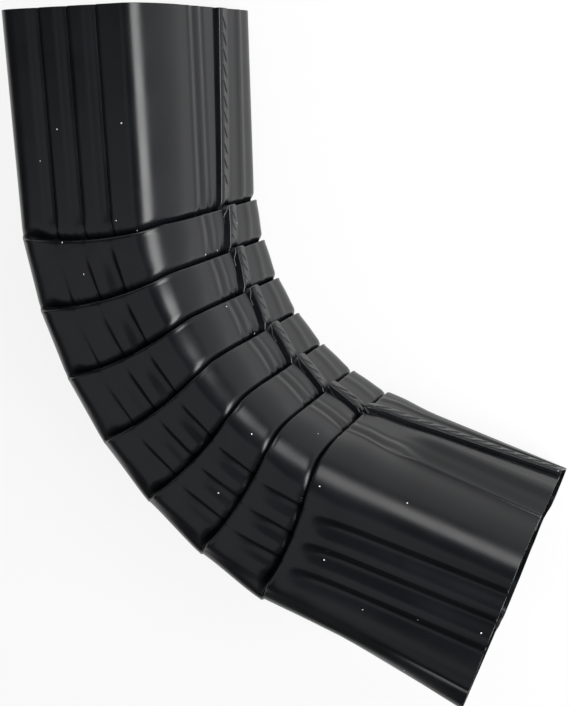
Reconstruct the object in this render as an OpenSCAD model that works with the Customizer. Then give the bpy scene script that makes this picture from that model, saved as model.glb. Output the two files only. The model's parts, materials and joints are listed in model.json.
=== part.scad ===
// Rectangular downspout elbow folded from one painted sheet. It lies on one of its side
// faces, with the bend in the XY plane: the inlet leg points along +Y, and the outlet leg
// turns toward +X. The heel is the long outer wall of the bend, the throat the short one.

/* [Section] */
// Depth of the duct from its heel face to its throat face
depth = 82; // [70:1:100]
// Width of the duct across its heel face and its throat face
width = 108; // [98:1:130]
// Radius of the four long corners
corner_r = 12; // [8:0.5:14]
// Thickness of the sheet
sheet = 0.6; // [0.4:0.05:0.8]

/* [Bend] */
// Angle that the duct turns through between its inlet and its outlet
bend_angle = 73; // [45:1:80]
// Number of crimped pleats that share the turn
pleats = 7; // [6:1:8]
// Distance from pleat to pleat along the heel
heel_pitch = 36.9; // [34:0.1:45]

/* [Legs] */
// Length of the inlet leg along the heel, from the rim to the first pleat
inlet_leg = 104; // [60:0.5:160]
// Length of the outlet leg along the heel, from the last pleat to the rim
outlet_leg = 105.5; // [80:0.5:160]

/* [Pleats] */
// Clear space between two layers of a folded pleat
layer_gap = 0.35; // [0.2:0.05:0.6]
// How far the lip of a pleat bows along the duct on the side faces
lip_bow = 4; // [0:0.5:6]
// How far the wall and the whole fold sink where the wall passes under a lip
lip_dip = 0.75; // [0:0.05:0.8]
// Extra stand-off of the lip where a pleat runs out beside the heel
mouth_gap = 0.9; // [0:0.1:1.5]
// Distance of that open mouth from the heel face
mouth_place = 13; // [10:0.5:20]
// How far the heel wall bulges above the last pleat, and less above each pleat before it
heel_bulge = 5; // [0:0.5:6]

/* [Side grooves] */
// Distance between the grooves of a side face
groove_pitch = 15.2; // [12:0.1:17]
// Place of the middle groove's steep edge across the side face
groove_place = 0.9; // [-1:0.1:2]
// Depth of a groove
groove_depth = 1.9; // [0.5:0.1:2.5]
// Width of a groove
groove_w = 7.4; // [4:0.1:9]
// Width of the steep flank on the throat side of a groove
groove_flank = 1.2; // [0.8:0.1:2]
// Length over which the grooves fade out above the first pleat
groove_fade = 16; // [8:1:30]
// Share of the groove depth that is left between the pleats
groove_left = 0.4; // [0:0.05:0.6]

/* [Lock seam] */
// Place of the seam's middle across the throat face
seam_place = -13; // [-18:0.5:-9]
// How far the seam drifts toward the far side along the outlet leg
seam_drift = 14; // [0:1:14]
// Width of the seam's raised band
seam_w = 9; // [5:0.5:12]
// Height of the band above the throat face
seam_h = 1.4; // [0.6:0.1:2]

/* [Beads] */
// Place of the shallow bead between the seam and the near corner
bead_place = 13.5; // [10:0.5:18]
// Place of the low ridge between the seam and the far corner
ridge_place = -32; // [-34:0.5:-28]
// Distance between the beads of the heel face
heel_bead_pitch = 26; // [20:0.5:30]
// Width of a bead
bead_w = 5.5; // [4:0.5:7]
// Depth of a bead
bead_depth = 0.8; // [0.3:0.1:1.5]

/* [Outlet crimp] */
// Length of the crimp that narrows the outlet
crimp_len = 63; // [30:1:75]
// Depth of the two darts at the rim
dart_depth = 6; // [2:0.5:9]
// Half width of a dart at the rim
dart_half_w = 12; // [6:0.5:14]
// How far the heel's corners flare at the rim, where the side faces end in a crest
heel_flare = 11; // [0:0.5:12]

/* [Hidden] */

paint = "#26272a";
arc_n = 4;
step = bend_angle / pleats;
pitch = sheet + layer_gap;
// Half the spacing that keeps the rows of a pleat apart where the fold runs out at the heel
run_out = 1.1;
mouth_span = 5;
half_d = depth / 2;
half_w = width / 2;
// Where along the outlet leg the first row of full grooves lies
groove_start = 24;
// Shares of the seam's height and of the heel's bulge on the six rows of a fold
seam_share = [1, 0.3, 0, 0, 0, 1];
bulge_share = [1, 1, 0.5, 0, 0, 0];
// Extra stand-off of the layers where they wrap the seam
seam_wrap = 0.5;
// How far the low ridge gives way to the drifting seam at the rim
ridge_drift = 5;
// Sideways shift of the throat's dart at the rim, and of its bottom
dart_shift = -4;
dart_lean = 3;
// Length over which the wall sinks above a lip
dip_reach = 3;
// Share of that dip which is held back at the rounded corners
corner_hold = 0.6;
// Radii of the softened near throat corner of the outlet leg: along the side face and along
// the throat face
soft_r = [14, 17];
// Steady bulge of the heel wall of the outlet leg
leg_bulge = 3.5;
// Shift of a heel corner at the rim, from the side face round to the heel face: toward the
// heel and outward, as shares of the flare
flare = [[-0.22, 0], [-0.07, 0.1], [-0.28, -0.17], [-0.58, -0.18], [-1, -0.17]];

function smooth(x) = let (c = min(1, max(0, x))) c * c * (3 - 2 * c);
function along(a) = [sin(a), -cos(a)];
function across(a) = [cos(a), sin(a)];
function heel_at(k) = k == 0 ? [-half_d, 0] : heel_at(k - 1) + heel_pitch * along(k * step);
function unit(p) = p / norm(p);

// One point of the outline: place, outward normal, inward groove depth, raised seam height,
// the shift that the outlet crimp gives it at the rim, its share of the heel's bulge, and the
// shift that the outlet leg gives it all along
function outline_pt(u, v, n, groove = 0, seam = 0, crimp = [0, 0], bulge = 0, leg = [0, 0]) =
    [[u, v], n, groove, seam, crimp, bulge, leg];

// A corner between two faces, from angle a0 to a0 + 90, flared at the outlet on the heel's side
function corner(su, sv, a0) = [
    for (i = [0 : arc_n])
        let (
            a = a0 + 90 * i / arc_n,
            n = across(a),
            f = flare[sv > 0 ? i : arc_n - i]
        )
        outline_pt(su * (half_d - corner_r) + corner_r * n.x, sv * (half_w - corner_r) + corner_r * n.y, n,
            crimp = su > 0 ? [0, 0] : heel_flare * [f.x, sv * f.y],
            bulge = smooth((-n.x - 0.3) / 0.7),
            leg = su < 0 || sv < 0 ? [0, 0] :
                [(corner_r - soft_r.x) * (1 - n.x), (corner_r - soft_r.y) * (1 - n.y)])
];

// The three grooves of a side face, sawtooth in section with the steep flank on the throat side
function side_grooves(side) = [
    for (j = [-1 : 1])
        let (c = groove_place - side * j * groove_pitch, edges = [0, -groove_flank, -groove_w])
        for (i = side > 0 ? [0, 1, 2] : [2, 1, 0])
            outline_pt(c + edges[i], side * half_w, [0, side], groove = i == 1 ? groove_depth : 0)
];

// A bead of the throat or heel face, as far as its sheet takes part in the dart at the outlet
function bead(face, c, d, open = 0, deep = 0, drift = 0, lean = 0) = [
    for (i = [-1 : 1])
        outline_pt(face * half_d, c + face * i * bead_w / 2, [face, 0], groove = i == 0 ? d : 0,
            crimp = i == 0 ? [-face * deep, lean] : [0, drift + face * i * open], bulge = face > 0 ? 0 : 1)
];

// A bead of the heel face beside its dart, which flares half as much as the corner
function side_bead(c) = [
    for (i = [1 : -1 : -1])
        outline_pt(-half_d, c + i * bead_w / 2, [-1, 0], groove = i == 0 ? bead_depth : 0,
            crimp = [-heel_flare / 2, 0], bulge = 1)
];

function seam_band() = [
    for (e = [[-0.5, 0], [-0.36, 0.8], [0.48, 1], [0.52, 0], [0.8, 0]])
        outline_pt(half_d, seam_place + e[0] * seam_w, [1, 0], seam = e[1] * seam_h,
            crimp = [0, -seam_drift * 2 / 3], leg = [0, -seam_drift / 3])
];

outline = concat(
    bead(1, ridge_place, -bead_depth, drift = -ridge_drift, lean = -ridge_drift),
    seam_band(),
    bead(1, bead_place, bead_depth, dart_half_w - bead_w / 2, dart_depth, dart_shift, dart_lean),
    corner(1, 1, 0),
    side_grooves(1),
    corner(-1, 1, 90),
    side_bead(heel_bead_pitch),
    bead(-1, 0, bead_depth, dart_half_w - bead_w / 2, dart_depth),
    side_bead(-heel_bead_pitch),
    corner(-1, -1, 180),
    side_grooves(-1),
    corner(1, -1, 270)
);
count = len(outline);

// Distance from the heel, the fold's depth there and how fully the layers stand apart
function reach(p) = p.x + half_d;
function overlap(p) = reach(p) * tan(step / 2);
function opened(p) = smooth(reach(p) / corner_r);
function bow(p) =
    lip_bow * max(0, 1 - pow(p.x / half_d, 2)) * smooth((abs(p.y) - half_w + corner_r) / corner_r);
function mouth(o) =
    abs(o[1].y) < 0.9 ? 0 : mouth_gap * exp(-pow((reach(o[0]) - mouth_place) / mouth_span, 2));
// How far the wall sinks under a lip, less at the rounded corners
function sink(o) = lip_dip * opened(o[0]) * (1 - 2 * corner_hold * abs(o[1].x * o[1].y));
function layer(o) = pitch * opened(o[0]) * (1 + mouth(o)) + (o[3] > 0 ? seam_wrap : 0);

// Where a row of the fold lies: [distance along the duct, stand-off from the outline]. Row 0
// is the wall above the lip, 1 to 4 are the three layers' ends, 5 is the wall beyond the lip
function fold_place(o, part) =
    let (
        flat = run_out * 2 * (1 - opened(o[0])),
        deep = overlap(o[0]),
        rise = layer(o)
    )
    [bow(o[0]), part == 0 ? 0 : -sink(o)] + (
        part == 0 ? [-dip_reach - 2.5 * flat, 0] :
        part == 1 ? [-2.5 * flat, 0] :
        part == 2 ? [deep - 1.5 * flat, 0] :
        part == 3 ? [deep - 0.5 * flat, rise] :
        part == 4 ? [0.5 * flat, rise] :
        [1.5 * flat, 2 * rise]);

// A row of the loft: [angle, heel point, stretch across the mitre, grooves, seam, crimp,
// row of the fold or -1, stand-off in layers, bulge of the heel, share of the outlet leg's shift]
function row(a, heel, stretch, groove, seam, crimp, part, off, bulge, leg = 0) =
    [a, heel, stretch, groove, seam, crimp, part, off, bulge, leg];
function leg_row(a, heel, s, groove, crimp = 0, off = 0, bulge = 0, leg = 0) =
    row(a, heel + s * along(a), 1, groove, 1, crimp, -1, off, bulge, leg);
function bulge_at(k) = heel_bulge * pow(k / (pleats - 1), 2);

function crimp_at(s) = max(0, (s - outlet_leg + crimp_len) / crimp_len);
outlet_heel = heel_at(pleats - 1);
rows = concat(
    [
        leg_row(0, heel_at(0), -inlet_leg, 1),
        leg_row(0, heel_at(0), -groove_fade * 1.6, 1),
        leg_row(0, heel_at(0), -groove_fade * 0.6, groove_left)
    ],
    [
        for (k = [0 : pleats - 1])
            let (a = (k + 0.5) * step, h = heel_at(k), b = bulge_at(k))
            for (r = concat(
                k == 0 ? [] :
                    [leg_row(k * step, heel_at(k - 1), heel_pitch / 2, groove_left, 0, 0.8, b * 0.6)],
                [for (part = [0 : 5])
                    row(a, h, 1 / cos(step / 2), groove_left * (part == 0 ? 1 : 0.5), seam_share[part],
                        0, part, 0, b * bulge_share[part])]))
                r
    ],
    [
        for (s = [groove_start, outlet_leg - crimp_len, outlet_leg - crimp_len / 2, outlet_leg])
            leg_row(bend_angle, outlet_heel, s, 1, crimp_at(s), s == groove_start ? 0.3 : 0,
                leg_bulge * (1 - crimp_at(s)), 1)
    ]
);
last = len(rows) - 1;

// The middle of the sheet on one row, in the row's own plane, and its distance along the duct
function flat_row(r) = [
    for (o = outline)
        let (
            place = r[6] < 0 ? [0, r[7] * pitch * opened(o[0])] : fold_place(o, r[6]),
            p = o[0] + (place[1] - o[2] * r[3]) * o[1] + r[5] * o[4] - [r[8] * o[5], 0] + r[9] * o[6]
        )
        [p.x, p.y, place[0]]
];
flats = [for (r = rows) flat_row(r)];

// From a row's own plane to the elbow's frame
function world(r, p) =
    let (q = r[1] + across(r[0]) * (p.x + half_d) * r[2] + along(r[0]) * p.z)
    [q.x, q.y, p.y];
function turn(p) = [p.y, -p.x];
function mitre(a, b) = (a + b) / max(0.35, 1 + a * b);
function normal_2d(a, b) = let (e = [b.x - a.x, b.y - a.y]) turn(unit(e));

// The mitred normal of the sheet around the outline
function ring_normal(f, i) =
    mitre(normal_2d(f[(i + count - 1) % count], f[i]), normal_2d(f[i], f[(i + 1) % count]));

middles = [for (j = [0 : last]) [for (p = flats[j]) world(rows[j], p)]];

// The mitred normal of the sheet along the duct, as [along, outward]
function profile_edge(j, i, from, to) =
    let (
        e = middles[to][i] - middles[from][i],
        t = along(rows[j][0]),
        w = across(rows[j][0]),
        n = outline[i][1],
        s = e.x * t.x + e.y * t.y,
        o = (e.x * w.x + e.y * w.y) * n.x + e.z * n.y
    )
    unit([-o, s]);
function profile_normal(j, i) =
    j == 0 || j == last ? [0, 1] :
    mitre(profile_edge(j, i, j - 1, j), profile_edge(j, i, j, j + 1));

function skin_row(j, side) = [
    for (i = [0 : count - 1])
        let (
            f = flats[j],
            m = profile_normal(j, i),
            n = ring_normal(f, i) * m[1],
            lift = side > 0 ? outline[i][3] * rows[j][4] : 0,
            d = side * sheet / 2
        )
        world(rows[j], [f[i].x + d * n.x + lift * outline[i][1].x,
            f[i].y + d * n.y + lift * outline[i][1].y, f[i].z + d * m[0]])
];

outer = [for (j = [0 : last]) each skin_row(j, 1)];
inner = [for (j = [0 : last]) each skin_row(j, -1)];
skins = concat(outer, inner);

function quad(a, b, c, d) = [[a, b, c], [a, c, d]];
faces = [
    for (j = [0 : last - 1])
        for (i = [0 : count - 1])
            let (
                n = (i + 1) % count,
                a = j * count + i,
                b = j * count + n,
                c = (j + 1) * count + n,
                d = (j + 1) * count + i,
                deep = len(outer)
            )
            each concat(quad(a, d, c, b), quad(a + deep, b + deep, c + deep, d + deep)),
    for (i = [0 : count - 1])
        let (n = (i + 1) % count, deep = len(outer), end = last * count)
        each concat(quad(i, n, n + deep, i + deep), quad(end + i, end + i + deep, end + n + deep, end + n))
];

// The elbow's own origin is under its middle, on the side face that it lies on
low = [for (k = [0 : 2]) min([for (p = skins) p[k]])];
high = [for (k = [0 : 2]) max([for (p = skins) p[k]])];
origin = [(low.x + high.x) / 2, (low.y + high.y) / 2, low.z];

module elbow() {
    color(paint)
        translate(-origin)
            polyhedron(points = skins, faces = faces, convexity = 12);
}

elbow();
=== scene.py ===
import json
import math
import random
from collections import namedtuple

import bmesh
import bpy
from bpy.props import FloatProperty, FloatVectorProperty, IntProperty, PointerProperty
from mathutils import Matrix, Vector


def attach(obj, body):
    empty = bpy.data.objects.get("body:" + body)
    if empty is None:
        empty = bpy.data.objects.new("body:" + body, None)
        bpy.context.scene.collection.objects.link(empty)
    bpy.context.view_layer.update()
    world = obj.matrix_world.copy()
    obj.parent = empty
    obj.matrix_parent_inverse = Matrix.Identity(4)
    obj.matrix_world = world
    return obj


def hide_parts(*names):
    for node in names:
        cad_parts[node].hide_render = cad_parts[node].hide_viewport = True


bl_info = {
    "name": "Downspout Elbow",
    "version": (1, 0, 0),
    "blender": (4, 5, 0),
    "location": "View3D > Sidebar > Elbow",
    "description": "Makes a folded rectangular downspout elbow, its paint and a stage to show it on",
    "category": "Add Mesh",
}

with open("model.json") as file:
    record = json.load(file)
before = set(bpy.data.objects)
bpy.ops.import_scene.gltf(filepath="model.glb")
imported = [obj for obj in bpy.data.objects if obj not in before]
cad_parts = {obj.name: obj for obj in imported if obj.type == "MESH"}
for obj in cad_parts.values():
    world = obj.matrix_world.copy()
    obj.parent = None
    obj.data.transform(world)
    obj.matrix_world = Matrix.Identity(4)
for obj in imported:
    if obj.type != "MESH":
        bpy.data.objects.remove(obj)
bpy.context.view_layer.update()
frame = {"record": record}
NODE = "elbow"
PAINT = "satin_black_paint"
MM = 0.001

# The photograph's frame in pixels, and its camera: place in metres from the middle of the
# inlet, turn in degrees, focal length in pixels
PHOTO_SIZE = (569, 706)
CAMERA_PLACE = (0.279926, -0.029343, 0.449616)
CAMERA_TURN = (-16.148, 23.885, -1.594)
CAMERA_FOCAL = 1023.1
SENSOR = 36.0

# Half the side of the floor, and the place and size of each lamp, in metres
FLOOR_HALF = 5.0
LAMP_TARGET = (0.0, 0.0, 0.05)
LAMPS = {
    "right_lamp": ((1.1, -0.1, 0.7), (1.0, 0.7)),
    "back_lamp": ((0.3, 1.15, 0.75), (1.1, 0.6)),
    "top_lamp": ((-0.6, -0.45, 1.4), (1.3, 1.3)),
}

# How white the camera sees the floor beside its real light
FLOOR_SEEN = 0.85

# Scales of the paint's clouds, skin and cells of dust, and of the cut edge's grain
CLOUD_SCALE = 38.0
SKIN_SCALE = 1400.0
DUST_SCALE = 110.0
GRAIN_SCALE = 900.0

# The size of a speck of dust in its cell, and the share of cells without one
SPECK_SIZE = 0.04
CLEAN_SHARE = 0.45

# From here on a plain length is in millimetres, and becomes metres with MM where it is used

# How far round a lip's turn its paint is worn, in degrees from its middle
WORN_TURN = 40

# Where the middle of the lock seam runs on each part of the sheet from pleat to pleat: pairs of
# the share of its length and the place across the throat face
SEAM_ON_INLET = ((0, -15.2), (0.6, -12.2), (1, -9.4))
SEAM_ON_WALL = ((0, -13.6), (1, -11.0))
SEAM_ON_LAST_WALL = ((0, -14.0), (1, -14.6))
SEAM_ON_OUTLET = ((0, -16), (0.1, -20.5), (0.32, -27), (0.62, -31.5), (0.86, -35), (1, -37.2))

# The share of the seam's width that is left at the outlet's rim
SEAM_AT_RIM = 0.78

# The seam's section in shares of its width from its middle: foot and run of the far slope and of
# the upright near wall, place and half width of the crown
SEAM_FOOT = -0.55
SLOPE_RUN = 0.25
WALL_FOOT = 0.545
WALL_RUN = 0.05
SEAM_CROWN = 0.25
CROWN_HALF = 0.4

# Height beside the crown and of the crown itself, in shares of the seam's height
SHOULDER_HEIGHT = 0.85
CROWN_HEIGHT = 0.3

# The narrow gap beside the wall: its start, its end and the rise to that end
GAP_START = 0.5
GAP_END = 0.88
GAP_RISE = 0.18

# The loft's points across the seam, and those of them that are sharp creases
SEAM_CREASES = (0.505, 0.545)
SEAM_STOPS = (SEAM_FOOT, -0.45, -0.35, -0.2, -0.05, 0.1, 0.24, 0.36, 0.44, 0.49, *SEAM_CREASES,
              0.58, 0.64, 0.7, 0.76, 0.82, GAP_END)

# How far a lip is drawn up where the seam is folded with it
SEAM_BOW = 1.6

# The slanting marks: each runs from high to low across the seam in shares of its width, then its
# run along the seam, half its width and half its height
MARK_FROM = 0.42
MARK_TO = -0.4
MARK_RUN = 9.0
MARK_WIDTH = 1.1
MARK_HEIGHT = 0.75

# Distances from mark to mark on a leg and on a wall between two pleats, where marks are shorter,
# and from the end marks to a pleat
LEG_MARKS = 7
WALL_MARKS = 4.2
MARK_MARGIN = 2
WALL_MARK_SHARE = 0.75

# The near throat corner's reach along the side face and the throat face from the inlet's rim on:
# pairs of the count of pleats passed and the reach
CORNER_U = ((0, 13), (1, 14), (6, 16), (7, 20), (8, 17))
CORNER_V = ((0, 28), (1, 25), (6, 26), (7, 30), (8, 28))

# How far the crowned throat face has fallen at that corner, likewise, and where across the face
# it starts to fall before the outlet leg and at the rim
CROWN = ((0, 1.5), (7, 1.5), (8, 2.5))
CROWN_START = (0, 20)

# Shallow ridges and beads: place across the face, half width and height
THROAT_BEADS = ((20, 5, 0.3), (13.5, 3, -0.6), (5.5, 2.4, -0.35), (9, 2, 0.2), (-32, 3.4, 0.8))
HEEL_BEADS = [(place, 3.6, 0.8) for place in (-26, 0, 26)]

# The share of those beads that is left between the pleats and on the folds
BEADS_KEPT = 0.6

# How strongly the three grooves, from the heel on, show on the walls between two pleats
GROOVES_LEFT = [(0.15, 0.6, 1.6), (0.2, 0.7, 1.6), (0.4, 1.0, 1.6),
                (0.7, 1.2, 1.6), (1.2, 1.4, 1.6), (1.4, 1.5, 1.6)]

# The same on the inlet leg, along the outlet leg, round a lip and in the rest of a fold
INLET_GROOVES = 1.3
OUTLET_GROOVES = (1.3, 2.3)
LIP_GROOVES = 0.15
FOLD_GROOVES = 0.1

# Distance from a pleat at which the grooves start or end, and the run over which they do, on the
# walls in shares of their length
INLET_GROOVE_END = (6, 6)
OUTLET_GROOVE_START = (3, 12)
WALL_GROOVE_START = (0.02, 0.6)

# A groove's section where it is crisp, on the inlet leg, and where it is wide, on the outlet leg:
# run of the steep flank; whole width, run of the gentle rise and depth of its shoulder in shares;
# and how wide it is on the walls
FLANK_RUN = (1.5, 5.0)
GROOVE_REACH = (1.0, 1.6)
RISE_RUN = (0.6, 1.0)
SHOULDER = (0.45, 1.0)
WALL_WIDENESS = 0.6

# The steep flank's upper edge, and the shoulder's start and run
FLANK_EDGE = 0.3
SHOULDER_FALL = (-3.2, 2.2)

# The loft's points across a groove of the near side face and of the far one
NEAR_GROOVE_STOPS = (-3.2, -2.6, -2.1, -1.6, -1.1, -0.7, -0.3, 0, 0.3)
FAR_GROOVE_STOPS = (-8, -5, -2, -1, 0.3)

# The part of the side face that holds the grooves, and their drift toward the throat by the rim
GROOVE_FIELD = (-23 * MM, 17 * MM)
GROOVE_DRIFT = 5 * MM

# Distances between the loft's points, and the steps round each corner, the near throat one first
THROAT_STEP = 2.4
FINE_STEP = 1.05
HEEL_STEP = 4.2
FAR_STEP = 4
CORNER_STEPS = (18, 9, 7, 7)

# The share of a step within which a given place pushes an even one out
CROWDED = 0.45

# Rows of the loft: on the legs from the nearest pleat, on the walls in shares of their length
INLET_ROWS = (104, 103.8, 92, 80, 68, 56, 46, 38, 31, 26, 22, 18.5, 15.5, 13, 10.5, 8.5, 6.6, 5,
              3.8, 2.8, 1.9, 1.1, 0.4)
WALL_ROWS = (0.05, 0.1, 0.16, 0.23, 0.31, 0.4, 0.5, 0.59, 0.68, 0.76, 0.82, 0.87, 0.91, 0.945,
             0.97, 0.99)
OUTLET_ROWS = (1.7, 3, 4.8, 7, 9.5, 12.5, 16, 20, 25, 30, 36, 42, 46, 50, 55, 60, 66, 72, 78, 84,
               90, 96, 101, 105.3, 105.5)

# Rows of a fold: the kind of turn, and how far round it in degrees
TURNS = (("in", 0), ("bottom", -90), ("bottom", 0), ("bottom", 90), ("out", 0),
         ("lip", -90), ("lip", -40), ("lip", 0), ("lip", 40), ("lip", 90))

# The open mouth of a pleat beside the heel: its half width and the extra sheet folded under there
MOUTH_HALF = 5.5
MOUTH_OVERLAP = 1.5

# How much deeper the wall sinks under a lip in the mouth, as a share
MOUTH_DEEPER = 0.8

# How far a fold runs along the duct where it runs out at the heel
RUN_OUT = 1.5

# The part of the wall's gap under a lip that goes on inside the fold
GAP_INSIDE = 0.4

# The share of a fold's sinking that is held back in the middle of a corner
CORNER_HOLD = 0.6

# The run over which the wall beyond a lip comes down from the fold's layers, on the walls as a
# share of their length
LEG_LIFT_RUN = 28
WALL_LIFT_RUN = 0.9

# Runs from a lip: of the sinking beyond it and above it, the seam's knuckle, the mouth, and the
# gap under the lip outside the mouth and in it
SINK_RUN = 12
SINK_FADE = 3.5
KNUCKLE_FADE = 7
MOUTH_FADE = 5
GAP_RUN = (4.0, 6.0)

# How far a wall's corners at the throat draw in at its start and swell at its end, and how near
# the next lip that stops
CORNER_SWELL = (-0.4, 0.8)
SWELL_END = 3

# The dents above a lip: ranges of width, reach and depth, in a side face's groove, beside it, on
# the throat's near part and on its far part
GROOVE_DENT = ((0.9, 1.4), (2.5, 5), (1.4, 2))
SIDE_DENT = ((0.7, 1.1), (1, 2.8), (0.4, 0.9))
THROAT_DENT = ((0.7, 1.2), (1.5, 4), (0.9, 1.8))
FAR_DENT = ((1.2, 1.8), (1, 2.5), (0.3, 0.6))

# Their distances from the groove, from the dent before and from the seam, on the near part as a
# start, a spread and its crowding, and their counts in those places
GROOVE_DENT_PLACE = (-2.5, -0.5)
SIDE_DENT_GAP = (2.5, 5.5)
THROAT_DENT_PLACE = (7.5, 22, 1.6)
FAR_DENT_PLACE = (8, 24)
DENT_COUNTS = (2, 9, 3)
DENT_SEED = 7

# How high dents reach and how deep they get together, and how many of its widths from its middle
# a dent ends
DENT_END = 15
DENT_DEEPEST = 1.7
DENT_TAIL = 3

# The share of the heel's bulge left just beyond a pleat, the part of a corner that it leaves out,
# and the run of the outlet leg's own bulge
BULGE_KEPT = 0.75
BULGE_SLANT = 0.3
LEG_BULGE_RUN = 24

# Where the dart's far edge and its crest lie across the throat face, before it and at the rim
DART_EDGE = -2 * MM
DART_EDGE_AT_RIM = -12.5 * MM
CREST_PLACE = 16 * MM
CREST_AT_RIM = 22 * MM

# The dart's section from edge to crest: the share of its depth that the first step takes, and in
# shares of its width the end of that step, start and run of the facet, start of the steep rise
DART_STEP = 0.3
STEP_END = 0.16
FACET_START = 0.13
FACET_RUN = 0.6
RISE_START = 0.76

# The crest's height as a share of the dart's depth, and its near side's run
CREST_RISE = 0.3
CREST_FADE = 3.5

# Start and run of the dart and of its far edge's move, in shares of the outlet leg, and the
# dart's depth from the leg's start to the rim
DART_START = (0.24, 0.16)
EDGE_MOVE = (0.15, 0.25)
DART_DEEPENS = (0.6, 1.0)

# The heel's flare at the rim: shifts toward the heel and outward round the corner's degrees, and
# the heel face's shift toward the heel by millimetres from its middle
CORNER_FLARE = ((0, 0.22), (20, 0.17), (30, 0.12), (40, 0.25), (50, 0.44), (60, 0.65),
                (70, 0.84), (80, 0.97), (90, 1))
CORNER_SPLAY = ((0, 0), (20, 0.08), (30, -0.05), (40, -0.05), (50, -0.03), (60, 0.03),
                (70, 0.1), (80, 0.12), (90, 0))
HEEL_FLARE = ((0, -0.55), (12, 0), (23, 0.5), (29, 0.5), (42, 1))

# The side faces' share in that flare, and its start and run
SIDE_FLARE = 0.22
SIDE_FLARE_START = (10, 19)

# How much longer the far side is at the outlet's rim, and the run of that
FAR_RIM_LONGER = 1.4
FAR_RIM_RUN = 14


def mount(name):
    """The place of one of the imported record's mounts."""
    for m in frame["record"]["mounts"]:
        if m["name"] == name:
            return Vector(m["pos_m"])
    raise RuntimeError(f"the record has no mount named {name}")


def smooth(x):
    """Runs from 0 to 1 while x does, level at both ends."""
    c = min(1.0, max(0.0, x))
    return c * c * (3 - 2 * c)


def rising(x, start, run):
    """Runs smoothly from 0 to 1 while x runs on from start."""
    return smooth((x - start) / run)


def mix(a, b, t):
    """Runs straight from a to b while t runs from 0 to 1."""
    return a + (b - a) * t


def hump(x, half):
    """1 at x = 0, falling smoothly to 0 at half on either side."""
    return smooth(1 - abs(x) / half)


def fading(distance, run):
    """1 at no distance, and dying away with a run in millimetres."""
    return math.exp(-distance / (run * MM))


def ramp(x, pairs):
    """Runs straight through pairs of (x, value), and stays level beyond them."""
    for (a, b), (c, d) in zip(pairs, pairs[1:]):
        if x <= c:
            return mix(b, d, max(0.0, x - a) / (c - a))
    return pairs[-1][1]


def length(name, mm, text, low=0.0):
    """A length of the panel, given in millimetres."""
    return FloatProperty(name=name, description=text, default=mm * MM, min=low * MM,
                         unit="LENGTH", precision=4)


def level(name, default, text):
    """A number of the panel from 0 to 1."""
    return FloatProperty(name=name, description=text, default=default, min=0, max=1)


def swatch(name, default, text):
    """A colour of the panel."""
    return FloatVectorProperty(name=name, description=text, subtype="COLOR", size=3,
                               default=default, min=0, max=1)


def watts(name, default, text):
    """The power of a lamp."""
    return FloatProperty(name=name, description=text, default=default, min=0, unit="POWER")


class ElbowSizes(bpy.types.PropertyGroup):
    """The folded sheet's driving sizes."""

    depth: length("Depth", 82, "From the heel face to the throat face", 60)
    width: length("Width", 108, "Across the heel face and the throat face", 80)
    corner_r: length("Corner radius", 12, "Radius of the four long corners", 4)
    sheet: length("Sheet", 0.6, "Thickness of the sheet", 0.3)
    bend: FloatProperty(name="Bend", description="Angle of the whole turn",
                        subtype="ANGLE", default=math.radians(73))
    pleats: IntProperty(name="Pleats", description="Number of crimped pleats", default=7, min=2, max=9)
    heel_pitch: length("Heel pitch", 36.9, "From pleat to pleat along the heel", 20)
    inlet_leg: length("Inlet leg", 104, "Its length along the heel", 60)
    outlet_leg: length("Outlet leg", 105.5, "Its length along the heel", 80)
    layer_gap: length("Layer gap", 0.35, "Clearance between two layers")
    lip_bow: length("Lip bow", 4, "How far a lip bows on the side faces")
    dip: length("Dip", 0.75, "How far a whole fold sinks into the duct")
    gap: length("Gap", 1.6, "How deep the wall dives to pass under a lip")
    mouth_gap: length("Mouth gap", 1.8, "How far a lip gapes beside the heel")
    mouth_place: length("Mouth place", 13, "Distance of that gape from the heel face")
    heel_bulge: length("Heel bulge", 5, "Bulge of the heel wall at the last pleat")
    leg_bulge: length("Leg bulge", 3.5, "Bulge of the outlet leg's heel wall")
    groove_pitch: length("Groove pitch", 15.2, "Distance between two grooves")
    groove_place: length("Groove place", 0.9, "Where the middle groove's steep edge lies", -10)
    groove_depth: length("Groove depth", 1.5, "Depth of the grooves of a side face")
    groove_w: length("Groove width", 8, "Width of a groove")
    seam_place: length("Seam place", -13, "Where its middle lies in the outline", -30)
    seam_w: length("Seam width", 9, "Width of the lock seam")
    seam_h: length("Seam height", 1.7, "Height of the lock seam")
    seam_gap: length("Seam gap", 1.5, "Depth of the narrow gap beside it")
    knuckle: length("Knuckle", 2.2, "How much higher the seam stands at a lip")
    crimp_len: length("Crimp length", 63, "Length of the crimp at the outlet")
    dart_depth: length("Dart depth", 9, "Depth of the throat's dart at the rim")
    heel_flare: length("Heel flare", 11, "Flare of the heel's corners at the rim")


class PaintLook(bpy.types.PropertyGroup):
    """The finish of the sheet."""

    paint: swatch("Paint", (0.0036, 0.004, 0.005), "Colour of the paint")
    roughness: level("Roughness", 0.31, "Roughness of the paint")
    gloss: level("Gloss", 0.32, "How strongly the paint mirrors when seen square on")
    bare: swatch("Bare edge", (0.55, 0.56, 0.57), "Colour of the sheet's cut edge")
    dust: swatch("Dust", (0.7, 0.72, 0.75), "Colour of the dust specks")


class StageLook(bpy.types.PropertyGroup):
    """The floor and the lamps."""

    floor: swatch("Floor", (0.8, 0.8, 0.8), "Colour of the floor")
    room: level("Room light", 0.04, "Strength of the room's own light")
    right_lamp: watts("Right lamp", 28.0, "Power of the lamp on the throat's side")
    back_lamp: watts("Back lamp", 13.0, "Power of the lamp beyond the inlet")
    top_lamp: watts("Top lamp", 3.3, "Power of the broad, weak lamp overhead")


# A place on the duct's outline: u runs from heel to throat, v from the far side to the near
# one, normal points outward, and face names the wall
Place = namedtuple("Place", "u v normal face")

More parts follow.
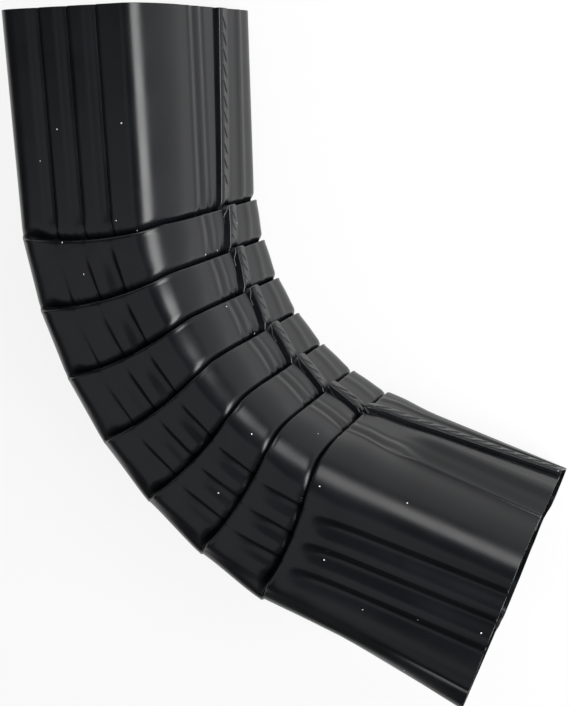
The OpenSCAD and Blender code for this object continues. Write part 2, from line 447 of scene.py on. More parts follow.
# A row of the loft: its segment, its share t of the segment's length, and for the rows of a fold
# the kind of turn and how far round it is
Row = namedtuple("Row", "segment t turn angle")

# A plane across the duct: its angle, where it meets the heel, its stretch, and whether a lip
# bows off it
Plane = namedtuple("Plane", "angle heel stretch bows")

# A dent above a lip: its face and side, its place across the face, and in millimetres its width,
# its reach above the lip and its depth
Dent = namedtuple("Dent", "face side place width reach depth")


def stops(low, high, gap, extra=()):
    """Places from low to high about gap apart, with the extra ones taken in where they fall."""
    count = max(1, round((high - low) / gap))
    keep = [x for x in extra if low < x < high]
    even = [low + (high - low) * i / count for i in range(1, count)]
    even = [x for x in even if all(abs(x - k) > gap * CROWDED for k in keep)]
    return sorted([low, *even, *keep, high])


def drawn_dent(rng, face, side, place, ranges):
    """A dent whose width, reach and depth are drawn from their ranges, in that order."""
    return Dent(face, side, place, *[rng.uniform(*limits) for limits in ranges])


def crest_line(t):
    """Where the dart's crest lies across the throat face, at a share of the outlet leg."""
    return mix(CREST_PLACE, CREST_AT_RIM, t)


class Duct:
    """Where the middle of the sheet lies, for a place on its outline and a row along it."""

    def __init__(self, sizes):
        self.sizes = sizes
        self.half_d = sizes.depth / 2
        self.half_w = sizes.width / 2
        self.flat_w = self.half_w - sizes.corner_r
        self.flat_d = self.half_d - sizes.corner_r
        self.step = sizes.bend / sizes.pleats
        self.pitch = sizes.sheet + sizes.layer_gap
        self.origin = mount("inlet_collar") - Vector((0, sizes.inlet_leg, 0))
        self.heels = [Vector((-self.half_d, 0))]
        for k in range(1, sizes.pleats):
            self.heels.append(self.heels[-1] + sizes.heel_pitch * self.along(k * self.step))
        mitre = 1 / math.cos(self.step / 2)
        self.planes = [
            Plane(0.0, self.heels[0] - sizes.inlet_leg * self.along(0), 1.0, 0),
            *[Plane((k + 0.5) * self.step, h, mitre, 1) for k, h in enumerate(self.heels)],
            Plane(sizes.bend, self.heels[-1] + sizes.outlet_leg * self.along(sizes.bend), 1.0, 0),
        ]
        self.outline = self.make_outline()
        creases = [CREST_PLACE, *(sizes.seam_place + f * sizes.seam_w for f in SEAM_CREASES)]
        self.sharp = [i for i, p in enumerate(self.outline)
                      if p.face == "throat" and any(abs(p.v - c) < 0.01 * MM for c in creases)]
        self.dents = self.make_dents(random.Random(DENT_SEED))

    @staticmethod
    def along(angle):
        """The direction of the water at an angle of the bend."""
        return Vector((math.sin(angle), -math.cos(angle)))

    @staticmethod
    def across(angle):
        """The direction from heel to throat at an angle of the bend."""
        return Vector((math.cos(angle), math.sin(angle)))

    def make_outline(self):
        """The places round the duct, closest on the seam and on the near side."""
        sizes = self.sizes
        d, w = self.flat_d, self.flat_w
        seam = [sizes.seam_place + f * sizes.seam_w for f in SEAM_STOPS]
        edges = [sizes.groove_place + c * sizes.groove_pitch for c in (-1, 0, 1)]
        near_grooves = [e + f * MM for e in edges for f in NEAR_GROOVE_STOPS]
        far_grooves = [e + f * MM for e in edges for f in FAR_GROOVE_STOPS]
        heel_bends = [side * v * MM for side in (-1, 1) for v, _ in HEEL_FLARE[1:-1]]
        throat = stops(-w, seam[0], THROAT_STEP * MM)
        throat += seam[1:-1] + stops(seam[-1], CREST_PLACE, FINE_STEP * MM)
        throat += stops(CREST_PLACE, w, THROAT_STEP * MM)[1:]
        near = reversed(stops(-d, d, FINE_STEP * MM, near_grooves))
        heel = reversed(stops(-w, w, HEEL_STEP * MM, heel_bends))
        far = stops(-d, d, FAR_STEP * MM, far_grooves)
        return [
            *[Place(self.half_d, v, (1, 0), "throat") for v in throat],
            *self.corner(d, w, 0, CORNER_STEPS[0]),
            *[Place(u, self.half_w, (0, 1), "side") for u in near],
            *self.corner(-d, w, 90, CORNER_STEPS[1]),
            *[Place(-self.half_d, v, (-1, 0), "heel") for v in heel],
            *self.corner(-d, -w, 180, CORNER_STEPS[2]),
            *[Place(u, -self.half_w, (0, -1), "side") for u in far],
            *self.corner(d, -w, 270, CORNER_STEPS[3]),
        ]

    def corner(self, cu, cv, start, steps):
        """The places round a corner, from a start in degrees."""
        radius = self.sizes.corner_r
        turns = [math.radians(start + 90 * i / steps) for i in range(1, steps)]
        normals = [(math.cos(turn), math.sin(turn)) for turn in turns]
        return [Place(cu + radius * n[0], cv + radius * n[1], n, "corner") for n in normals]

    def make_dents(self, rng):
        """The small dents above each lip, where the sheet is gathered."""
        sizes = self.sizes
        beside, near, far = DENT_COUNTS
        start, spread, crowding = THROAT_DENT_PLACE
        rows = []
        for _ in range(sizes.pleats):
            row = []
            for c in (-1, 0, 1):
                for side in (-1, 1):
                    groove = sizes.groove_place + c * sizes.groove_pitch
                    u = groove + rng.uniform(*GROOVE_DENT_PLACE) * MM
                    row.append(drawn_dent(rng, "side", side, u, GROOVE_DENT))
                    for _ in range(beside):
                        u += rng.uniform(*SIDE_DENT_GAP) * MM
                        row.append(drawn_dent(rng, "side", side, u, SIDE_DENT))
            for _ in range(near):
                v = sizes.seam_place + (start + spread * rng.random() ** crowding) * MM
                row.append(drawn_dent(rng, "throat", 0, v, THROAT_DENT))
            for _ in range(far):
                v = sizes.seam_place - rng.uniform(*FAR_DENT_PLACE) * MM
                row.append(drawn_dent(rng, "throat", 0, v, FAR_DENT))
            rows.append(row)
        return rows

    def dent(self, pleat, p, above):
        """How deep a pleat's dents are at a distance above its lip."""
        if above > DENT_END * MM or p.face not in ("side", "throat"):
            return 0.0
        total = 0.0
        for d in self.dents[pleat]:
            if d.face == p.face and d.side * p.v >= 0:
                x = ((p.u if d.face == "side" else p.v) - d.place) / (d.width * MM)
                if abs(x) < DENT_TAIL:
                    total += d.depth * MM * math.exp(-x * x) * fading(above, d.reach)
        return min(total, DENT_DEEPEST * MM)

    def reach(self, p):
        """Distance of a place from the heel face."""
        return p.u + self.half_d

    def mouth(self, p):
        """1 in the middle of a pleat's open mouth, dying away beside it."""
        if p.face in ("throat", "heel"):
            return 0.0
        return math.exp(-((self.reach(p) - self.sizes.mouth_place) / (MOUTH_HALF * MM)) ** 2)

    def overlap(self, p):
        """How far the sheet is folded under the lip."""
        return self.reach(p) * math.tan(self.step / 2) + MOUTH_OVERLAP * MM * self.mouth(p)

    def opened(self, p):
        """0 at the heel, where a fold has run out, and 1 where its layers stand apart."""
        return smooth(self.reach(p) / self.sizes.corner_r)

    def across_seam(self, p):
        """A place's distance from the seam's middle, in shares of the seam's width."""
        return (p.v - self.sizes.seam_place) / self.sizes.seam_w

    def on_seam(self, p):
        """1 on the lock seam's band, 0 off it."""
        if p.face != "throat":
            return 0.0
        x = self.across_seam(p)
        return smooth((x - SEAM_FOOT) / SLOPE_RUN) * smooth((WALL_FOOT - x) / WALL_RUN)

    def bow(self, p):
        """How far a lip bows along the duct: down on the side faces, and up at the seam."""
        radius = self.sizes.corner_r
        side = max(0.0, 1 - (p.u / self.half_d) ** 2)
        side *= smooth((abs(p.v) - self.half_w + radius) / radius)
        return self.sizes.lip_bow * side - SEAM_BOW * MM * self.on_seam(p)

    def slant(self, p):
        """1 where a corner's face lies at 45 degrees, 0 on the flat faces."""
        return abs(2 * p.normal[0] * p.normal[1])

    def sink(self, p):
        """How far the fold of a pleat sinks into the duct, less at the rounded corners."""
        return self.sizes.dip * self.opened(p) * (1 - CORNER_HOLD * self.slant(p))

    def groove(self, p, wide):
        """The sawtooth grooves of a side face: the relief, and which groove it is."""
        sizes = self.sizes
        if p.face != "side":
            return 0.0, 0
        width = mix(*GROOVE_REACH, wide) * sizes.groove_w
        for i in range(3):
            x = p.u - sizes.groove_place - (i - 1) * sizes.groove_pitch
            if -width < x < FLANK_EDGE * MM:
                flank = smooth((FLANK_EDGE * MM - x) / (mix(*FLANK_RUN, wide) * MM))
                rise = smooth((x + width) / (mix(*RISE_RUN, wide) * sizes.groove_w))
                shoulder = mix(mix(*SHOULDER, wide), 1, rising(x / MM, *SHOULDER_FALL))
                return -sizes.groove_depth * shoulder * flank * rise, i
        return 0.0, 0

    def beads(self, p):
        """The shallow beads and ridges of the throat and the heel."""
        if p.face == "throat":
            return sum(h * hump(p.v - c * MM, half * MM) for c, half, h in THROAT_BEADS) * MM
        if p.face == "heel":
            return -max(h * hump(p.v - c * MM, half * MM) for c, half, h in HEEL_BEADS) * MM
        return 0.0

    def seam(self, p, knuckle=0.0):
        """The lock seam: a crowned band, and the narrow gap beside its near edge."""
        if p.face != "throat":
            return 0.0
        sizes = self.sizes
        x = self.across_seam(p)
        gap = smooth((x - GAP_START) / WALL_RUN) * smooth((GAP_END - x) / GAP_RISE)
        crown = SHOULDER_HEIGHT + CROWN_HEIGHT * hump(x - SEAM_CROWN, CROWN_HALF)
        height = sizes.seam_h * crown + sizes.knuckle * knuckle
        return height * self.on_seam(p) - sizes.seam_gap * gap

    def seam_path(self, segment):
        """The seam's line on one part of the sheet from pleat to pleat."""
        if segment == 0:
            return SEAM_ON_INLET
        if segment == self.sizes.pleats:
            return SEAM_ON_OUTLET
        return SEAM_ON_LAST_WALL if segment == self.sizes.pleats - 1 else SEAM_ON_WALL

    def seam_line(self, row):
        """The middle and the width of the lock seam on a row."""
        width = self.sizes.seam_w
        if row.turn:
            before = self.seam_path(row.segment)[-1][1]
            after = self.seam_path(row.segment + 1)[0][1]
            return mix(before, after, smooth(row.t)) * MM, width
        if row.segment == self.sizes.pleats:
            width *= mix(1.0, SEAM_AT_RIM, row.t)
        return ramp(row.t, self.seam_path(row.segment)) * MM, width

    def slid(self, row, p):
        """The place moved along its face by the seam, the dart, the grooves and the corner."""
        t = row.t if row.segment == self.sizes.pleats and not row.turn else 0.0
        passed = row.segment + (1 if row.turn else row.t)
        turn_u, turn_v = ramp(passed, CORNER_U) * MM, ramp(passed, CORNER_V) * MM
        crown, crest = ramp(passed, CROWN) * MM, mix(*CROWN_START, t) * MM
        if p.face == "throat":
            v = self.slid_on_throat(row, p, t, self.half_w - turn_v)
            return p._replace(u=p.u - crown * self.crowned(v, crest), v=v)
        if p.face == "side":
            low, high = GROOVE_FIELD
            drift = GROOVE_DRIFT * t
            end = self.half_d - (turn_u if p.v > 0 else self.sizes.corner_r)
            return p._replace(u=ramp(p.u, (
                (-self.flat_d, -self.flat_d), (low, low + drift), (high, high + drift), (self.flat_d, end))))
        if p.face == "corner" and p.normal[0] > 0 and p.v > 0:
            v = self.half_w - turn_v * (1 - p.normal[1])
            drop = crown * self.crowned(v, crest) + (turn_u - crown) * (1 - p.normal[0])
            return p._replace(u=self.half_d - drop, v=v)
        return p

    def slid_on_throat(self, row, p, t, end):
        """Where a place of the throat face comes to lie, with the near corner starting at end."""
        sizes = self.sizes
        middle, width = self.seam_line(row)
        far_edge = mix(DART_EDGE, DART_EDGE_AT_RIM, rising(t, *EDGE_MOVE))
        return ramp(p.v, (
            (-self.flat_w, -self.flat_w),
            (sizes.seam_place + SEAM_FOOT * sizes.seam_w, middle + SEAM_FOOT * width),
            (sizes.seam_place + GAP_END * sizes.seam_w, middle + GAP_END * width),
            (DART_EDGE, far_edge),
            (CREST_PLACE, crest_line(t)),
            (self.flat_w, end)))

    def crowned(self, v, crest):
        """The share of its fall that the crown has fallen beyond its crest."""
        return max(0.0, (v - crest) / (self.half_w - crest)) ** 2

    def on_plane(self, plane, p, out, along):
        """A place's point on a plane across the duct, moved outward and along."""
        q = plane.heel + self.across(plane.angle) * (self.reach(p) + out * p.normal[0]) * plane.stretch
        q = q + self.along(plane.angle) * (along + self.bow(p) * plane.bows)
        return Vector((q.x, q.y, p.v + out * p.normal[1])) + self.origin

    def heelward(self, p):
        """How fully a place takes part in what the heel wall does."""
        if p.face == "heel":
            return 1.0
        return smooth((-p.normal[0] - BULGE_SLANT) / (1 - BULGE_SLANT))

    def bulge(self, pleat):
        """How far the heel wall has come out by a pleat."""
        if not 0 <= pleat < self.sizes.pleats:
            return 0.0
        return self.sizes.heel_bulge * (pleat / (self.sizes.pleats - 1)) ** 2

    def fold(self, row, p):
        """A point of the fold: under the lip, round the bottom, back, and round the lip."""
        opened, turn = self.opened(p), math.radians(row.angle)
        layer = self.pitch * opened
        lift = self.sizes.mouth_gap * self.mouth(p) * opened
        if row.turn == "in":
            along, out = 0.5 * self.overlap(p), -GAP_INSIDE * self.sizes.gap * opened
        elif row.turn == "bottom":
            along = self.overlap(p) + 0.5 * layer * (math.cos(turn) - 1)
            out = 0.5 * layer * (1 + math.sin(turn))
        elif row.turn == "out":
            along, out = 0.5 * self.overlap(p), layer + 0.5 * lift
        else:
            along = 0.5 * layer * (1 - math.cos(turn))
            out = 1.5 * layer + lift + 0.5 * layer * math.sin(turn)
        along = mix(RUN_OUT * MM * row.t, along, opened)
        outer, grooves = (1, LIP_GROOVES) if row.turn == "lip" else (0.5, FOLD_GROOVES)
        out += self.groove(p, 0)[0] * grooves - self.sink(p)
        out += self.beads(p) * BEADS_KEPT + self.seam(p, outer - 0.5) * outer
        out += self.bulge(row.segment) * mix(1, BULGE_KEPT, smooth(row.t)) * self.heelward(p)
        return self.on_plane(self.planes[row.segment + 1], self.slid(row, p), out, along)

    def wall(self, row, p):
        """A point of a leg or of the wall between two pleats."""
        sizes = self.sizes
        low, high = self.planes[row.segment], self.planes[row.segment + 1]
        first, last = row.segment == 0, row.segment == sizes.pleats
        moved = self.slid(row, p)
        start, end = self.on_plane(low, moved, 0, 0), self.on_plane(high, moved, 0, 0)
        reach = (end - start).length
        below, above = row.t * reach, (1 - row.t) * reach
        knuckle = 0.0 if first else 0.5 * fading(below, KNUCKLE_FADE)
        out = self.seam(p, knuckle) + self.grooves(row, p, below, above)
        out += self.beads(p) * (1.0 if first or last else BEADS_KEPT)
        if not first:
            out += self.beyond_lip(p, below, LEG_LIFT_RUN * MM if last else WALL_LIFT_RUN * reach)
        if not last:
            out += self.under_lip(row, p, above)
        if not first and not last and p.normal[0] > 0:
            swell = self.slant(p) * mix(*CORNER_SWELL, smooth(row.t)) * MM
            out += swell * smooth(above / (SWELL_END * MM))
        if last:
            crimp = max(0.0, 1 - (1 - row.t) * sizes.outlet_leg / sizes.crimp_len)
            out += self.leg_bulge(p, below) * (1 - crimp)
            dart = self.dart(p, moved.v - crest_line(row.t))
            out -= dart * rising(row.t, *DART_START) * mix(*DART_DEEPENS, row.t)
            start, end = self.crimped(start, p, crimp), self.crimped(end, p, crimp)
            end = end + self.far_rim(p)
        outward = self.across(mix(low.angle, high.angle, row.t)) * p.normal[0]
        return start.lerp(end, row.t) + Vector((outward.x, outward.y, p.normal[1])) * out

    def grooves(self, row, p, below, above):
        """The grooves of a leg or a wall, as strong as they are left there."""
        if row.segment == 0:
            return self.groove(p, 0.0)[0] * INLET_GROOVES * rising(above / MM, *INLET_GROOVE_END)
        if row.segment == self.sizes.pleats:
            strength = mix(*OUTLET_GROOVES, row.t) * rising(below / MM, *OUTLET_GROOVE_START)
            return self.groove(p, 1.0)[0] * strength
        relief, which = self.groove(p, WALL_WIDENESS)
        left = GROOVES_LEFT[min(row.segment, len(GROOVES_LEFT)) - 1][which]
        return relief * left * rising(row.t, *WALL_GROOVE_START)

    def beyond_lip(self, p, below, run):
        """How far the wall beyond a lip stands out over its own level."""
        opened = self.opened(p)
        layers = 2 * self.pitch * opened * (1 - smooth(below / run))
        sunk = self.sink(p) * (1 - smooth(below / (SINK_RUN * MM)))
        return layers - sunk + self.sizes.mouth_gap * self.mouth(p) * opened * fading(below, MOUTH_FADE)

    def under_lip(self, row, p, above):
        """How the wall above a lip sinks and is dented to pass under it, and how the heel bulges."""
        opened, mouth = self.opened(p), self.mouth(p)
        gap = self.sizes.gap * (1 + MOUTH_DEEPER * mouth) * opened
        gap *= smooth(1 - above / (mix(*GAP_RUN, mouth) * MM))
        gap += self.sink(p) * fading(above, SINK_FADE) + self.dent(row.segment, p, above) * opened
        bulge = mix(self.bulge(row.segment - 1) * BULGE_KEPT, self.bulge(row.segment), smooth(row.t))
        return bulge * self.heelward(p) - gap

    def leg_bulge(self, p, below):
        """The bulge of the outlet leg's heel wall."""
        kept = self.bulge(self.sizes.pleats - 1) * BULGE_KEPT
        run = smooth(below / (LEG_BULGE_RUN * MM))
        return mix(kept, self.sizes.leg_bulge, run) * self.heelward(p)

    def dart(self, p, beyond):
        """The throat's dart: a step down, a broad facet, and a steep rise to a crest."""
        depth = self.sizes.dart_depth
        if p.face not in ("throat", "corner") or p.normal[0] <= 0 or p.v < -self.flat_w:
            return 0.0
        if p.v >= CREST_PLACE:
            return -depth * CREST_RISE * fading(beyond, CREST_FADE)
        x = (p.v - DART_EDGE) / (CREST_PLACE - DART_EDGE)
        step = DART_STEP * smooth(x / STEP_END)
        facet = (1 - DART_STEP) * min(1.0, max(0.0, (x - FACET_START) / FACET_RUN))
        rise = (1 + CREST_RISE) * smooth((x - RISE_START) / (1 - RISE_START))
        return depth * (step + facet - rise)

    def crimped(self, point, p, crimp):
        """Flares a point of the heel's corners, and sinks the heel's dart between them."""
        if p.face == "heel":
            out, splay = ramp(abs(p.v) / MM, HEEL_FLARE), 0.0
        elif p.face == "corner" and p.normal[0] < 0:
            turn = math.degrees(math.asin(-p.normal[0]))
            out, splay = ramp(turn, CORNER_FLARE), math.copysign(1, p.v) * ramp(turn, CORNER_SPLAY)
        elif p.face == "side":
            out, splay = SIDE_FLARE * rising(-p.u / MM, *SIDE_FLARE_START), 0.0
        else:
            return point
        heelward = -self.across(self.sizes.bend) * out
        return point + Vector((heelward.x, heelward.y, splay)) * self.sizes.heel_flare * crimp

    def far_rim(self, p):
        """How much further the far side runs at the outlet's rim."""
        if p.v >= 0 or p.u <= 0 or p.face == "throat":
            return Vector((0, 0, 0))
        on = self.along(self.sizes.bend) * FAR_RIM_LONGER * MM * smooth(p.u / (FAR_RIM_RUN * MM))
        return Vector((on.x, on.y, 0))

    def point(self, row, p):
        """The point of a place on a row."""
        return self.fold(row, p) if row.turn else self.wall(row, p)

    def rows(self):
        """The rows from the inlet's rim to the outlet's, closest where the sheet is folded."""
        sizes = self.sizes
        rows = [Row(0, max(0.0, 1 - d * MM / sizes.inlet_leg), "", 0) for d in INLET_ROWS]
        for k in range(sizes.pleats):
            rows += [Row(k, (i + 0.5) / len(TURNS), turn, angle) for i, (turn, angle) in enumerate(TURNS)]
            if k < sizes.pleats - 1:
                rows += [Row(k + 1, t, "", 0) for t in WALL_ROWS]
        return rows + [Row(sizes.pleats, min(1.0, d * MM / sizes.outlet_leg), "", 0) for d in OUTLET_ROWS]


def new_piece(name, bm, *materials):
    """Makes an object at the origin from a bmesh."""
    mesh = bpy.data.meshes.new(name)
    bm.to_mesh(mesh)
    bm.free()
    for m in materials:
        mesh.materials.append(m)
    piece = bpy.data.objects.new(name, mesh)
    bpy.context.scene.collection.objects.link(piece)
    return piece


def extrude_ring(bm, ring):
    """Extrudes a closed ring of edges and gives the new ring in the same order."""
    edges = [bm.edges.get(pair) for pair in zip(ring, ring[1:] + ring[:1])]
    made = bmesh.ops.extrude_edge_only(bm, edges=edges)["geom"]
    fresh = {g for g in made if isinstance(g, bmesh.types.BMVert)}
    return [next(v for e in old.link_edges for v in e.verts if v in fresh) for old in ring]


class ELBOW_OT_sheet(bpy.types.Operator):
    """Lofts the folded sheet ring by ring and gives it its thickness"""

    bl_idname = "elbow.sheet"
    bl_label = "Folded sheet"

    def execute(self, context):
        sizes = context.scene.elbow_sizes
        duct = Duct(sizes)
        rows = duct.rows()
        bm = bmesh.new()
        worn = bm.verts.layers.float.new("fold_edge")
        ring = bmesh.ops.create_circle(bm, segments=len(duct.outline), radius=duct.half_d)["verts"]
        for row in rows:
            if row is not rows[0]:
                before, ring = ring, extrude_ring(bm, ring)
                for i in duct.sharp:
                    bm.edges.get((before[i], ring[i])).smooth = False
            on_lip = row.turn == "lip" and abs(row.angle) <= WORN_TURN
            for vert, place in zip(ring, duct.outline):
                vert.co = duct.point(row, place)
                vert[worn] = duct.opened(place) if on_lip else 0.0
        bmesh.ops.recalc_face_normals(bm, faces=bm.faces)
        for f in bm.faces:
            f.smooth = True
        piece = new_piece("folded_sheet", bm, paint_material(), bare_material())
        wall = piece.modifiers.new("Sheet", "SOLIDIFY")
        wall.thickness = sizes.sheet
        wall.offset = 0.0
        wall.material_offset_rim = 1
        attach(piece, "root")
        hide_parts(NODE)
        return {"FINISHED"}


class ELBOW_OT_seam_marks(bpy.types.Operator):
    """Presses the slanting marks of the lock seam, as low ridges half sunk in its top"""

    bl_idname = "elbow.seam_marks"
    bl_label = "Seam marks"

    def execute(self, context):
        duct = Duct(context.scene.elbow_sizes)
        middle = Place(duct.half_d, duct.sizes.seam_place, (1, 0), "throat")
        bm = bmesh.new()
        for segment in range(duct.sizes.pleats + 1):
            ends = [duct.on_plane(plane, middle, 0, 0) for plane in duct.planes[segment:segment + 2]]
            reach = (ends[1] - ends[0]).length / MM
            leg = segment in (0, duct.sizes.pleats)
            run = MARK_RUN * (1 if leg else WALL_MARK_SHARE)
            room = reach - run - 2 * MARK_MARGIN
            count = int(room / (LEG_MARKS if leg else WALL_MARKS)) + 1
            for i in range(count):
                at = MARK_MARGIN + i * room / max(1, count - 1)
                self.ridge(bm, duct, segment, at / reach, (at + run) / reach)
        for f in bm.faces:
            f.smooth = True
        piece = new_piece("seam_marks", bm, bpy.data.materials[PAINT])
        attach(piece, "root")
        return {"FINISHED"}

    def on_top(self, duct, segment, t, share):
        """A point of the seam's top, by shares of the segment's length and the seam's width."""
        v = duct.sizes.seam_place + share * duct.sizes.seam_w
        return duct.point(Row(segment, t, "", 0), Place(duct.half_d, v, (1, 0), "throat"))

    def ridge(self, bm, duct, segment, t0, t1):
        """One ridge: a small ball drawn out along its line and pressed flat."""
        start = self.on_top(duct, segment, t0, MARK_FROM)
        end = self.on_top(duct, segment, t1, MARK_TO)
        side = self.on_top(duct, segment, t0, MARK_TO)
        run = end - start
        out = run.cross(side - start).normalized()
        angle = mix(duct.planes[segment].angle, duct.planes[segment + 1].angle, t0)
        if out.dot(Vector((*duct.across(angle), 0))) < 0:
            out = -out
        across = out.cross(run.normalized())
        ball = bmesh.ops.create_uvsphere(bm, u_segments=8, v_segments=6, radius=1.0)["verts"]
        turn = Matrix((run.normalized(), across, out)).transposed().to_4x4()
        size = Matrix.Diagonal((run.length / 2, MARK_WIDTH * MM, MARK_HEIGHT * MM, 1))
        middle = Matrix.Translation((start + end) / 2 + out * duct.sizes.sheet / 2)
        bmesh.ops.transform(bm, matrix=middle @ turn @ size, verts=ball)


class Value:
    """A shader socket that takes part in Python arithmetic by adding Math nodes."""

    def __init__(self, shade, out):
        self.shade = shade
        self.out = out

    def math(self, operation, other):
        return self.shade.node("ShaderNodeMath", {"operation": operation}, {0: self, 1: other})

    def __add__(self, other):
        return self.math("ADD", other)

    def __mul__(self, other):
        return self.math("MULTIPLY", other)

    def __lt__(self, other):
        return self.math("LESS_THAN", other)

    def __gt__(self, other):
        return self.math("GREATER_THAN", other)

    __radd__ = __add__
    __rmul__ = __mul__

    def between(self, low, high):
        """Runs smoothly from 0 to 1 while the value runs from low to high."""
        return self.shade.node("ShaderNodeMapRange", {"interpolation_type": "SMOOTHSTEP"},
                               {"Value": self, "From Min": low, "From Max": high}, "Result")


class Shade:
    """A material and the one way that nodes are added to it."""

    def __init__(self, name):
        self.material = bpy.data.materials.new(name)
        self.material.use_nodes = True
        self.tree = self.material.node_tree
        self.surface = self.tree.nodes["Principled BSDF"]

    def put(self, socket, value):
        """Links a value to a socket, or sets the socket to a plain number or colour."""
        if isinstance(value, Value):
            self.tree.links.new(value.out, socket)
        else:
            socket.default_value = value

    def node(self, kind, settings=None, sockets=None, output=0):
        """Adds a node, sets its settings, then its sockets, and gives one of its outputs."""
        n = self.tree.nodes.new(kind)
        for key, value in (settings or {}).items():
            setattr(n, key, value)
        for key, value in (sockets or {}).items():
            self.put(n.inputs[key], value)
        return Value(self, n.outputs[output])

    def other(self, value, output):
        """Another output of the node that a value comes from."""
        return Value(self, value.out.node.outputs[output])

    def blend(self, factor, a, b):
        """Mixes two colours."""
        return self.node("ShaderNodeMix", {"data_type": "RGBA"}, {0: factor, 6: a, 7: b}, 2)

    def finish(self, **sockets):
        """Sets the surface's sockets and gives the material."""
        for key, value in sockets.items():
            self.put(self.surface.inputs[key.replace("_", " ")], value)
        return self.material


def times(colour, factor):
    """A colour of the panel made lighter or darker, with full alpha."""
    return (*[c * factor for c in colour[:3]], 1)


def paint_material():
    """Satin black paint with a faint skin, worn fold edges and a few specks of dust."""
    look = bpy.context.scene.elbow_paint
    shade = Shade(PAINT)
    place = shade.node("ShaderNodeTexCoord", output="Object")
    cloud = shade.node("ShaderNodeTexNoise", None, {"Vector": place, "Scale": CLOUD_SCALE, "Detail": 3.0})
    skin = shade.node("ShaderNodeTexNoise", None, {"Vector": place, "Scale": SKIN_SCALE, "Detail": 2.0})
    cells = shade.node("ShaderNodeTexVoronoi", None, {"Vector": place, "Scale": DUST_SCALE}, "Distance")
    luck = shade.node("ShaderNodeSeparateColor", None, {"Color": shade.other(cells, "Color")})
    speck = (cells < SPECK_SIZE) * (luck > CLEAN_SHARE)
    edge = shade.node("ShaderNodeAttribute", {"attribute_name": "fold_edge"}, None, "Fac")
    worn = edge.between(0.3, 1.0) * cloud.between(0.35, 0.6)
    colour = shade.blend(cloud.between(0.35, 0.7), times(look.paint, 1), times(look.paint, 1.35))
    colour = shade.blend(worn * 0.12, colour, times(look.bare, 0.6))
    colour = shade.blend(speck * 0.85, colour, times(look.dust, 1))
    relief = shade.node("ShaderNodeBump", None, {"Height": skin, "Strength": 0.05, "Distance": 0.0002})
    rough = cloud.between(0.3, 0.75) * 0.07 + speck * 0.4 + (look.roughness - 0.035)
    return shade.finish(Base_Color=colour, Roughness=rough, Normal=relief, Specular_IOR_Level=look.gloss)


def bare_material():
    """The bright cut edge of the sheet."""
    look = bpy.context.scene.elbow_paint
    shade = Shade("bare_cut_edge")
    place = shade.node("ShaderNodeTexCoord", output="Object")
    grain = shade.node("ShaderNodeTexNoise", None, {"Vector": place, "Scale": GRAIN_SCALE, "Detail": 2.0})
    colour = shade.blend(grain, times(look.bare, 1), times(look.bare, 0.6))
    return shade.finish(Base_Color=colour, Roughness=grain.between(0.2, 0.8) * 0.2 + 0.3, Metallic=1.0)


def floor_material():
    """A pale floor that the camera sees white, but for the object's soft shadow."""
    look = bpy.context.scene.elbow_stage
    shade = Shade("pale_floor")
    shade.finish(Base_Color=times(look.floor, 1), Roughness=0.9)
    camera = shade.node("ShaderNodeLightPath", output="Is Camera Ray")
    glossy = shade.other(camera, "Is Glossy Ray")
    through = shade.other(camera, "Is Transmission Ray")
    seen = camera * FLOOR_SEEN + glossy + through
    white = shade.node("ShaderNodeEmission", None, {"Strength": 1.0})
    surface = Value(shade, shade.surface.outputs[0])
    both = shade.node("ShaderNodeMixShader", None, {0: seen, 1: surface, 2: white})
    shade.put(shade.tree.nodes["Material Output"].inputs["Surface"], both)
    return shade.material


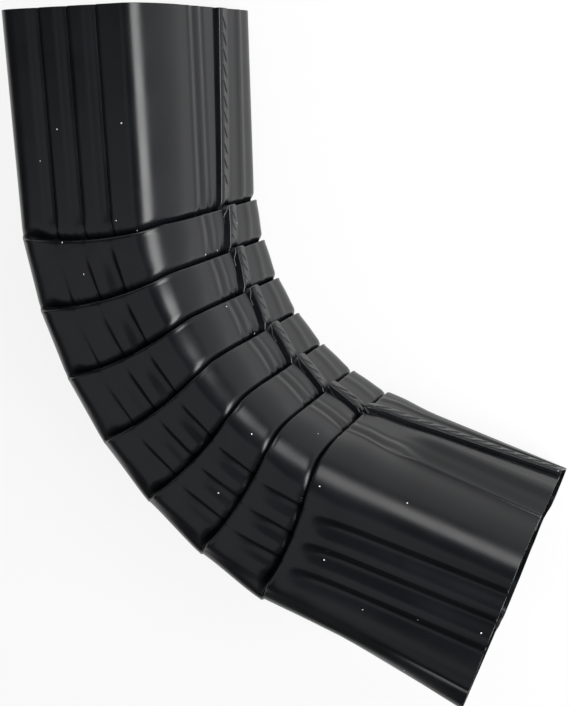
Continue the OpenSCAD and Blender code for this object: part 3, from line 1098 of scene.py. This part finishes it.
class ELBOW_OT_stage(bpy.types.Operator):
    """Lays the floor and sets the lamps, the room and the camera"""

    bl_idname = "elbow.stage"
    bl_label = "Stage"

    def execute(self, context):
        scene = context.scene
        look = scene.elbow_stage
        scene.view_settings.view_transform = "Standard"
        bm = bmesh.new()
        bmesh.ops.create_grid(bm, x_segments=4, y_segments=4, size=FLOOR_HALF)
        new_piece("floor", bm, floor_material())
        self.room(scene, look.room)
        for name, (place, size) in LAMPS.items():
            self.lamp(scene, name, place, size, getattr(look, name))
        self.camera(scene)
        return {"FINISHED"}

    @staticmethod
    def room(scene, strength):
        world = bpy.data.worlds.new("room")
        scene.world = world
        world.use_nodes = True
        back = world.node_tree.nodes["Background"]
        back.inputs["Color"].default_value = (1, 1, 1, 1)
        back.inputs["Strength"].default_value = strength

    @staticmethod
    def lamp(scene, name, place, size, power):
        data = bpy.data.lights.new(name, "AREA")
        data.shape = "RECTANGLE"
        data.size, data.size_y = size
        data.energy = power
        thing = bpy.data.objects.new(name, data)
        thing.location = place
        thing.rotation_euler = (Vector(LAMP_TARGET) - Vector(place)).to_track_quat("-Z", "Y").to_euler()
        scene.collection.objects.link(thing)

    @staticmethod
    def camera(scene):
        data = bpy.data.cameras.new("camera")
        data.sensor_width = SENSOR
        data.lens = CAMERA_FOCAL * SENSOR / max(PHOTO_SIZE)
        thing = bpy.data.objects.new("camera", data)
        thing.location = mount("inlet_collar") + Vector(CAMERA_PLACE)
        thing.rotation_euler = [math.radians(a) for a in CAMERA_TURN]
        scene.collection.objects.link(thing)
        scene.camera = thing


STEPS = (ELBOW_OT_sheet, ELBOW_OT_seam_marks, ELBOW_OT_stage)


class ELBOW_PT_panel(bpy.types.Panel):
    """Lists the steps and the sizes"""

    bl_idname = "ELBOW_PT_panel"
    bl_label = "Downspout Elbow"
    bl_space_type = "VIEW_3D"
    bl_region_type = "UI"
    bl_category = "Elbow"

    def draw(self, context):
        for step in STEPS:
            self.layout.operator(step.bl_idname)
        for group in (context.scene.elbow_sizes, context.scene.elbow_paint, context.scene.elbow_stage):
            box = self.layout.box()
            for name in group.__annotations__:
                box.prop(group, name)


CLASSES = (ElbowSizes, PaintLook, StageLook, *STEPS, ELBOW_PT_panel)


def register():
    for c in CLASSES:
        bpy.utils.register_class(c)
    bpy.types.Scene.elbow_sizes = PointerProperty(type=ElbowSizes)
    bpy.types.Scene.elbow_paint = PointerProperty(type=PaintLook)
    bpy.types.Scene.elbow_stage = PointerProperty(type=StageLook)


def unregister():
    del bpy.types.Scene.elbow_stage
    del bpy.types.Scene.elbow_paint
    del bpy.types.Scene.elbow_sizes
    for c in reversed(CLASSES):
        bpy.utils.unregister_class(c)


def main():
    register()
    bpy.ops.elbow.sheet()
    bpy.ops.elbow.seam_marks()
    bpy.ops.elbow.stage()


if __name__ == "__main__":
    main()
